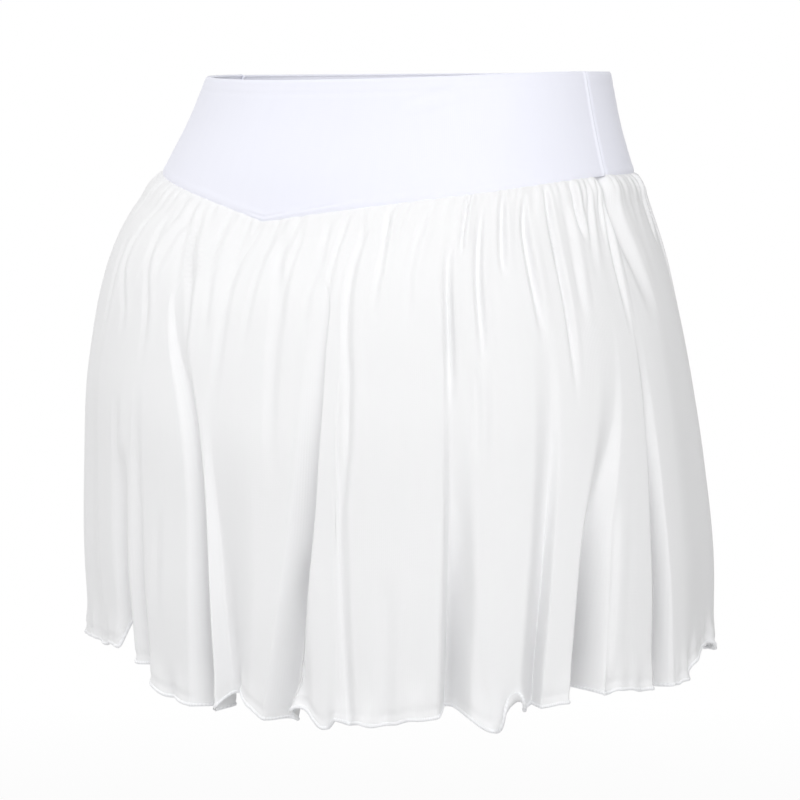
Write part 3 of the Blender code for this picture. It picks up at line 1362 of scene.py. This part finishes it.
@dataclass(frozen=True)
class Studio:
    """The floor, lamps, world and camera.

    Seen directly, the floor is white_least of the way from its paint to white. From white_from metres
    off, over white_over metres more, it goes over to white itself.
    """

    floor_level: float = -0.92
    floor_half: float = 14.0
    paint_greys: tuple[float, float] = (0.78, 0.82)
    grain_scale: float = 30.0
    grain_detail: float = 2.0
    white_from: float = 0.5
    white_over: float = 2.0
    white_least: float = 0.75
    ambient: float = 0.522
    lean: float = 0.14
    lean_angle: float = -10.0
    camera_angle: float = 40.0
    camera_distance: float = 1.76
    camera_lens: float = 127.1
    camera_sensor: float = 36.0
    aim_height: float = -0.2040
    aim_aside: float = -0.0037
    lamps: tuple[SoftLamp, ...] = (
        SoftLamp("Key", 36.0, 34.0, 2.4, 1.6, 0.32),
        SoftLamp("Left_Fill", -62.0, 30.0, 2.4, 1.4, 0.20),
        SoftLamp("Right_Fill", 64.0, 30.0, 2.4, 1.4, 0.18),
    )

    @staticmethod
    def seen_directly(desk: Desk) -> Signal:
        """Tells the rays that show the background from those that light the object.

        Args:
            desk: The desk of the world or material.

        Returns:
            1 for rays from the camera, and for those that metal or glass would send on, or else 0.
        """
        rays = desk.node("ShaderNodeLightPath", {}, {})
        names = ("Is Camera Ray", "Is Glossy Ray", "Is Transmission Ray")
        camera, glossy, through = (Signal(desk, rays.outputs[name]) for name in names)
        return camera.largest(glossy).largest(through)

    def build_world(self) -> None:
        """A white surround at a plain level, a little brighter from the lean's side."""
        world = bpy.data.worlds.new("Surround")
        world.use_nodes = True
        bpy.context.scene.world = world
        desk = Desk(world.node_tree)
        white = (1.0, 1.0, 1.0, 1.0)
        turn = math.radians(self.lean_angle)
        bright_side = (-math.sin(turn), math.cos(turn), 0.0)
        ray = desk.signal("ShaderNodeTexCoord", {}, {}, "Generated")
        dot = {"operation": "DOT_PRODUCT"}
        facing = desk.signal("ShaderNodeVectorMath", dot, {0: ray, 1: bright_side}, "Value")
        strength = facing * self.lean + self.ambient
        dim = desk.signal("ShaderNodeBackground", {}, {"Color": white, "Strength": strength}, 0)
        full = desk.signal("ShaderNodeBackground", {}, {"Color": white, "Strength": 1.0}, 0)
        seen = self.seen_directly(desk)
        mixed = desk.signal("ShaderNodeMixShader", {}, {0: seen, 1: dim, 2: full}, 0)
        desk.node("ShaderNodeOutputWorld", {}, {"Surface": mixed})

    def floor_material(self) -> bpy.types.Material:
        """Pale paint that keeps the object's shadow and goes over to white further off.

        Returns:
            The material.
        """
        material = bpy.data.materials.new("Floor_Paint")
        material.use_nodes = True
        desk = Desk(material.node_tree)
        place = desk.signal("ShaderNodeTexCoord", {}, {}, "Object")
        centred = desk.signal("ShaderNodeVectorMath", {"operation": "LENGTH"}, {0: place}, "Value")
        away = ((centred - self.white_from) * (1 / self.white_over)).clamped()
        noise = {"Vector": place, "Scale": self.grain_scale, "Detail": self.grain_detail}
        grain = desk.signal("ShaderNodeTexNoise", {}, noise, 0)
        dark, light = ((grey, grey, grey, 1.0) for grey in self.paint_greys)
        paint = desk.blended(grain, dark, light)
        matt = desk.signal("ShaderNodeBsdfDiffuse", {}, {"Color": paint}, 0)
        bright = desk.signal("ShaderNodeEmission", {}, {"Color": (1.0, 1.0, 1.0, 1.0), "Strength": 1.0}, 0)
        share = self.seen_directly(desk) * (away * (1 - self.white_least) + self.white_least)
        mixed = desk.signal("ShaderNodeMixShader", {}, {0: share, 1: matt, 2: bright}, 0)
        desk.node("ShaderNodeOutputMaterial", {}, {"Surface": mixed})
        return material

    def build_floor(self) -> None:
        """A wide plain floor, well below the hem, where the wearer would stand."""
        bm = bmesh.new()
        bmesh.ops.create_grid(bm, x_segments=1, y_segments=1, size=self.floor_half)
        bmesh.ops.translate(bm, verts=bm.verts[:], vec=(0.0, 0.0, self.floor_level))
        add_piece("Floor", bm, self.floor_material())

    def build_camera(self) -> None:
        """The camera, level with the waist and behind the wearer's right side."""
        turn = math.radians(self.camera_angle)
        eye = self.camera_distance * Vector((-math.sin(turn), math.cos(turn), 0.0))
        aside = Vector((-math.cos(turn), -math.sin(turn), 0.0)) * self.aim_aside
        aim = Vector((0.0, 0.0, self.aim_height)) + aside
        camera = bpy.data.cameras.new("Camera")
        camera.lens = self.camera_lens
        camera.sensor_width = self.camera_sensor
        holder = bpy.data.objects.new("Camera", camera)
        holder.location = eye
        holder.rotation_euler = (aim - eye).to_track_quat("-Z", "Y").to_euler()
        bpy.context.scene.collection.objects.link(holder)
        bpy.context.scene.camera = holder

    def build(self) -> None:
        """Sets up the whole studio."""
        self.build_world()
        self.build_floor()
        for lamp in self.lamps:
            lamp.build(Vector((0.0, 0.0, self.aim_height)))
        self.build_camera()
        bpy.context.scene.view_settings.view_transform = "Standard"


# --- The garment's own folds ------------------------------------------------------------------------

# Fold: angle, before, after, depth, start, bend, low, halfway, high, top, lift, and lap if it has one.
BACK_FOLDS = (
    Fold(-82.5, 5.0, 5.0, 0.020, 0.16, 0.5, 0.3, 0.5, 0.8, 1.0, 0.003),
    Fold(-69.5, 5.0, 5.5, 0.024, 0.10, 0.5, -0.5, -1.0, -1.5, -2.0, 0.004),
    Fold(-56.5, 4.5, 4.5, 0.012, 0.26, 0.5, -0.4, -0.8, -1.2, -1.5, 0.002),
    Fold(-36.0, 7.0, 6.0, 0.004, 0.20, 1.0, -0.8, -1.4, -2.0, -2.5, 0.000),
    Fold(-20.4, 4.0, 2.6, 0.017, 0.55, 0.5, -0.9, -1.6, -2.4, -3.0, 0.006, 0.0030),
    Fold(-15.2, 2.6, 2.2, 0.008, 0.34, 1.0, -1.2, -2.4, -3.7, -5.0, 0.003, 0.0015),
    Fold(-0.6, 3.4, 2.3, 0.026, 0.10, 0.75, 0.9, -1.6, -10.6, -16.4, -0.001, 0.0016),
    Fold(2.8, 1.8, 6.0, 0.014, 0.30, 0.9, 0.0, -1.0, -2.6, -4.4, 0.0105),
    Fold(13.6, 2.6, 3.6, 0.022, 0.12, 0.6, 6.0, 9.0, 9.6, 10.8, 0.000, 0.0016),
    Fold(26.0, 1.2, 1.8, 0.004, 0.30, 0.5, 0.1, 0.2, 0.2, 0.2, 0.000),
    Fold(41.6, 1.4, 5.2, 0.026, 0.22, 1.4, 2.2, 3.6, 3.8, 3.9, 0.001, -0.0032),
    Fold(58.5, 4.2, 1.3, 0.016, 0.20, 1.1, 3.1, 5.2, 5.4, 5.3, -0.001, 0.0035),
    Fold(65.8, 2.8, 5.4, 0.042, 0.10, 2.9, 4.4, 11.8, 13.8, 10.4, 0.000, -0.0020),
    Fold(84.2, 2.8, 4.8, 0.060, 0.08, 3.2, 1.6, 2.4, 2.4, 2.2, -0.004, -0.0030),
)
FRONT_FOLDS = (
    Fold(105.0, 12.0, 11.0, 0.003, 0.16, 0.5, -1.0, -2.4, -4.0, -5.4, 0.006),
    Fold(121.0, 4.6, 5.0, 0.023, 0.16, 0.5, 0.2, 0.5, 0.8, 1.0, 0.006),
    Fold(133.5, 4.6, 3.2, 0.027, 0.38, 0.5, -0.2, -0.5, -0.8, -1.0, 0.004, 0.0025),
    Fold(146.0, 2.6, 6.4, 0.024, 0.12, 0.5, 1.0, 1.8, 2.4, 3.0, 0.003, -0.0030),
    Fold(160.5, 5.2, 3.4, 0.029, 0.24, 0.5, 0.7, 1.2, 1.6, 2.0, 0.003, 0.0020),
    Fold(172.0, 5.0, 4.6, 0.015, 0.42, 0.5, 0.0, 0.0, 0.0, 0.0, 0.005),
    Fold(185.0, 3.0, 5.4, 0.030, 0.12, 0.5, -0.9, -1.8, -2.4, -3.0, 0.003, -0.0030),
    Fold(199.0, 6.0, 2.6, 0.023, 0.24, 0.5, -0.6, -1.2, -1.6, -2.0, 0.002, 0.0035),
    Fold(210.0, 4.6, 5.4, 0.027, 0.16, 0.5, -1.1, -2.2, -2.9, -3.5, 0.005),
    Fold(224.0, 5.6, 3.6, 0.018, 0.34, 0.5, 0.0, 0.0, 0.0, 0.0, 0.003, 0.0015),
    Fold(236.0, 3.2, 5.6, 0.029, 0.13, 0.5, 1.2, 2.2, 2.9, 3.5, 0.004, -0.0030),
    Fold(249.5, 4.8, 4.6, 0.020, 0.22, 0.5, 0.5, 0.9, 1.2, 1.5, 0.003),
    Fold(261.5, 4.6, 4.4, 0.024, 0.12, 0.5, -0.3, -0.5, -0.8, -1.0, 0.002),
)

# Crease: path, width, depth, ridge, and fade_in and fade_out where they are its own.
BACK_CREASES = (
    Crease(((-38.4, 0.10), (-35.6, 0.279), (-37.4, 0.40)), 0.0045, 0.0010, 0.0004),
    Crease(((-33.0, 0.03), (-33.6, 0.155), (-27.4, 0.262), (-26.6, 0.36)), 0.0040, 0.0012, 0.0005),
    Crease(((-27.4, 0.02), (-25.4, 0.111), (-19.4, 0.245), (-18.4, 0.38)), 0.0038, 0.0012, 0.0006),
    Crease(((-22.4, 0.01), (-15.2, 0.114), (-11.4, 0.21)), 0.0034, 0.0010, 0.0006),
    Crease(((-18.0, 0.01), (-16.2, 0.048), (-9.2, 0.160), (-7.0, 0.34)), 0.0032, 0.0022, 0.0012),
    Crease(((-10.8, 0.01), (-4.6, 0.149), (-2.6, 0.28)), 0.0034, 0.0012, 0.0006),
    Crease(((-2.2, 0.02), (0.8, 0.199), (1.0, 0.42)), 0.0046, 0.0012, 0.0004),
    Crease(((-3.6, 0.00), (-1.4, 0.12)), 0.0024, 0.0009, 0.0005),
    Crease(((4.0, 0.01), (6.2, 0.142), (6.4, 0.30)), 0.0036, 0.0009, 0.0004),
    Crease(
        ((5.0, 0.00), (12.0, 0.147), (13.2, 0.265), (13.4, 0.364), (15.0, 0.56)), 0.0052, 0.0016, 0.0006
    ),
    Crease(((10.6, 0.00), (13.0, 0.093), (14.6, 0.27)), 0.0030, 0.0010, 0.0005),
    Crease(((16.0, 0.00), (19.4, 0.095), (19.0, 0.156), (18.8, 0.27)), 0.0032, 0.0012, 0.0006),
    Crease(((20.8, 0.00), (22.2, 0.094), (23.0, 0.22)), 0.0026, 0.0014, 0.0007),
    Crease(
        ((26.2, 0.00), (26.8, 0.12), (27.2, 0.245), (27.8, 0.332), (28.6, 0.53)), 0.0036, 0.0026, 0.0012
    ),
    Crease(((24.2, 0.00), (27.6, 0.09)), 0.0020, 0.0010, 0.0006),
    Crease(((29.8, 0.00), (32.2, 0.103), (31.6, 0.23)), 0.0030, 0.0024, 0.0012),
    Crease(((38.8, 0.02), (38.2, 0.117), (38.2, 0.26)), 0.0034, 0.0014, 0.0008),
    Crease(((45.4, 0.05), (45.6, 0.20), (45.5, 0.32), (45.2, 0.44)), 0.0032, 0.0068, 0.0006, 0.45, 0.45),
    Crease(((50.8, 0.01), (51.3, 0.10), (51.5, 0.20), (51.6, 0.34)), 0.0030, 0.0046, 0.0006, 0.25, 0.4),
    Crease(((47.4, 0.00), (47.9, 0.13)), 0.0020, 0.0034, 0.0012, 0.1, 0.4),
    Crease(((55.6, 0.01), (56.2, 0.08), (56.8, 0.18)), 0.0030, 0.0046, 0.0007, 0.25, 0.4),
    Crease(((49.6, 0.30), (49.8, 0.40), (49.2, 0.54)), 0.0036, 0.0014, 0.0010),
    Crease(((60.6, 0.01), (61.8, 0.10), (62.8, 0.17), (63.6, 0.32)), 0.0034, 0.0052, 0.0008, 0.25, 0.5),
    Crease(((66.6, 0.00), (68.4, 0.10), (69.4, 0.20), (69.2, 0.44)), 0.0026, 0.0040, 0.0007, 0.1, 0.5),
    Crease(((74.8, 0.00), (77.2, 0.13)), 0.0026, 0.0030, 0.0012, 0.1, 0.5),
    Crease(((72.0, 0.03), (73.2, 0.12), (73.0, 0.30)), 0.0034, 0.0016, 0.0008),
    Crease(((80.8, 0.00), (78.0, 0.20)), 0.0026, 0.0014, 0.0008),
    Crease(((84.2, 0.00), (83.0, 0.14)), 0.0022, 0.0012, 0.0008),
    Crease(((85.8, 0.00), (85.2, 0.157), (85.4, 0.32)), 0.0028, 0.0018, 0.0008),
    Crease(((27.4, 0.30), (27.8, 0.46), (25.6, 0.66)), 0.0030, 0.0026, 0.0006, 0.4, 0.6),
    Crease(((25.8, 0.50), (25.6, 0.70), (25.4, 0.94)), 0.0022, 0.0007, 0.0003),
    Crease(((19.6, 0.66), (18.8, 0.84), (18.6, 1.02)), 0.0075, 0.0040, 0.0006, fade_out=0.1),
    Crease(((46.2, 0.52), (47.2, 0.773), (49.8, 1.02)), 0.0060, 0.0005, 0.0003, fade_out=0.1),
    Crease(((33.8, 0.70), (33.0, 0.87), (32.4, 1.03)), 0.0080, 0.0016, 0.0004, fade_out=0.1),
    Crease(((75.6, 0.60), (72.8, 0.850), (71.0, 1.03)), 0.0060, 0.0014, 0.0004, fade_out=0.1),
    Crease(((-25.0, 0.42), (-24.0, 0.626), (-24.6, 0.90)), 0.0060, 0.0012, 0.0006),
    Crease(((-10.4, 0.62), (-11.6, 0.88)), 0.0060, 0.0010, 0.0004),
)
FRONT_CREASES = (
    Crease(((108.4, 0.00), (109.6, 0.16)), 0.0026, 0.0030, 0.0012, 0.1, 0.5),
    Crease(((114.0, 0.01), (115.8, 0.12), (116.4, 0.30)), 0.0030, 0.0034, 0.0012, 0.2, 0.5),
    Crease(((123.6, 0.00), (123.0, 0.10)), 0.0022, 0.0030, 0.0012, 0.1, 0.5),
    Crease(((128.0, 0.02), (126.6, 0.16), (127.0, 0.38)), 0.0034, 0.0040, 0.0014, 0.25, 0.5),
    Crease(((136.6, 0.00), (138.0, 0.12), (138.6, 0.24)), 0.0024, 0.0036, 0.0012, 0.1, 0.5),
    Crease(((141.8, 0.04), (140.4, 0.22), (140.8, 0.46)), 0.0044, 0.0030, 0.0010, 0.3, 0.5),
    Crease(((151.4, 0.00), (152.2, 0.14)), 0.0022, 0.0026, 0.0012, 0.1, 0.5),
    Crease(((155.6, 0.01), (154.2, 0.13), (154.6, 0.33)), 0.0030, 0.0050, 0.0016, 0.25, 0.5),
    Crease(((166.0, 0.02), (166.8, 0.18), (166.4, 0.42)), 0.0040, 0.0026, 0.0010, 0.3, 0.5),
    Crease(((170.8, 0.00), (171.6, 0.11)), 0.0022, 0.0032, 0.0012, 0.1, 0.5),
    Crease(((177.6, 0.00), (178.4, 0.15), (178.0, 0.36)), 0.0026, 0.0046, 0.0016, 0.2, 0.5),
    Crease(((183.0, 0.00), (182.0, 0.12)), 0.0022, 0.0024, 0.0010, 0.1, 0.5),
    Crease(((191.2, 0.03), (190.0, 0.20), (190.4, 0.50)), 0.0046, 0.0024, 0.0008, 0.3, 0.5),
    Crease(((195.4, 0.00), (194.2, 0.14)), 0.0024, 0.0034, 0.0012, 0.1, 0.5),
    Crease(((204.4, 0.01), (203.0, 0.12), (203.2, 0.28)), 0.0028, 0.0042, 0.0014, 0.2, 0.5),
    Crease(((214.6, 0.00), (215.2, 0.10)), 0.0022, 0.0028, 0.0010, 0.1, 0.5),
    Crease(((218.8, 0.02), (217.4, 0.17), (217.8, 0.40)), 0.0036, 0.0038, 0.0012, 0.25, 0.5),
    Crease(((229.6, 0.00), (230.8, 0.13), (230.4, 0.26)), 0.0026, 0.0044, 0.0014, 0.2, 0.5),
    Crease(((242.0, 0.02), (243.4, 0.20), (243.0, 0.44)), 0.0042, 0.0028, 0.0010, 0.3, 0.5),
    Crease(((246.6, 0.00), (245.8, 0.12)), 0.0022, 0.0032, 0.0012, 0.1, 0.5),
    Crease(((255.8, 0.00), (256.6, 0.16), (256.2, 0.34)), 0.0028, 0.0036, 0.0012, 0.2, 0.5),
    Crease(((265.6, 0.01), (264.6, 0.14)), 0.0024, 0.0028, 0.0010, 0.15, 0.5),
    Crease(((123.0, 0.66), (124.4, 0.86), (125.0, 1.03)), 0.0070, 0.0014, 0.0004, fade_out=0.1),
    Crease(((179.0, 0.60), (178.2, 0.82), (178.6, 1.02)), 0.0060, 0.0014, 0.0005, fade_out=0.1),
    Crease(((242.6, 0.58), (243.8, 0.80), (244.0, 1.02)), 0.0060, 0.0012, 0.0005, fade_out=0.1),
)
SIDE_CREASES = (
    Crease(((87.0, -0.02), (89.4, 0.09), (92.8, 0.19), (96.0, 0.31)), 0.0085, 0.0042, 0.0006, 0.1, 0.6),
)
BAND_CREASES = (
    Crease(((-6.0, 0.978), (8.4, 0.952)), 0.0011, 0.00045, 0.00020, 0.3, 0.4, Run.ROUND),
    Crease(((6.0, 0.964), (22.0, 0.938)), 0.0010, 0.00040, 0.00020, 0.4, 0.4, Run.ROUND),
    Crease(((30.0, 0.22), (50.0, 0.06)), 0.0042, 0.00070, 0.00040, 0.4, 0.4, Run.ROUND),
)

# Scallop: angle, half_width, lift, out, start.
BACK_SCALLOPS = (
    Scallop(7.4, 4.8, 0.0078, 0.0, 0.84),
    Scallop(18.2, 3.8, 0.0090, 0.0, 0.86),
    Scallop(24.6, 1.8, 0.0040, 0.0015, 0.93),
    Scallop(29.0, 3.0, 0.0000, 0.0025, 0.95),
    Scallop(54.0, 2.4, 0.0010, 0.0060, 0.93),
    Scallop(-22.4, 1.7, 0.0180, 0.0, 0.86),
)
BACK_CURLS = (HemCurl(angle=53.2, half_width=2.9, length=0.0125, radius=0.0030),)
BACK_HEM = LettuceHem(seed=11, scallops=BACK_SCALLOPS, curls=BACK_CURLS)
FRONT_HEM = LettuceHem(seed=23)


def main() -> None:
    """Loads the frame, builds the garment piece by piece, and sets the studio round it."""
    logging.basicConfig(level=logging.INFO, format="%(name)s: %(message)s")
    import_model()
    form = GarmentForm()
    knit, jersey, thread = BAND_KNIT.make(), SKIRT_JERSEY.make(), HEM_THREAD.make()
    halves = (
        (Side.BACK, BACK_FOLDS, BACK_CREASES, BACK_HEM, BAND_CREASES),
        (Side.FRONT, FRONT_FOLDS, FRONT_CREASES, FRONT_HEM, ()),
    )
    for side, folds, creases, hem, dents in halves:
        band = Waistband(form, side, dents).build(knit)
        panel = SkirtPanel(form, side, folds, Gathers(hem.seed), hem, creases + SIDE_CREASES)
        roll = RolledHem(panel).build(thread)
        skirt = panel.build(jersey, roll)
        for piece in (band, roll, skirt):
            LOG.info("built %s with %d faces", piece.name, len(piece.data.polygons))
    Studio().build()


if __name__ == "__main__":
    main()
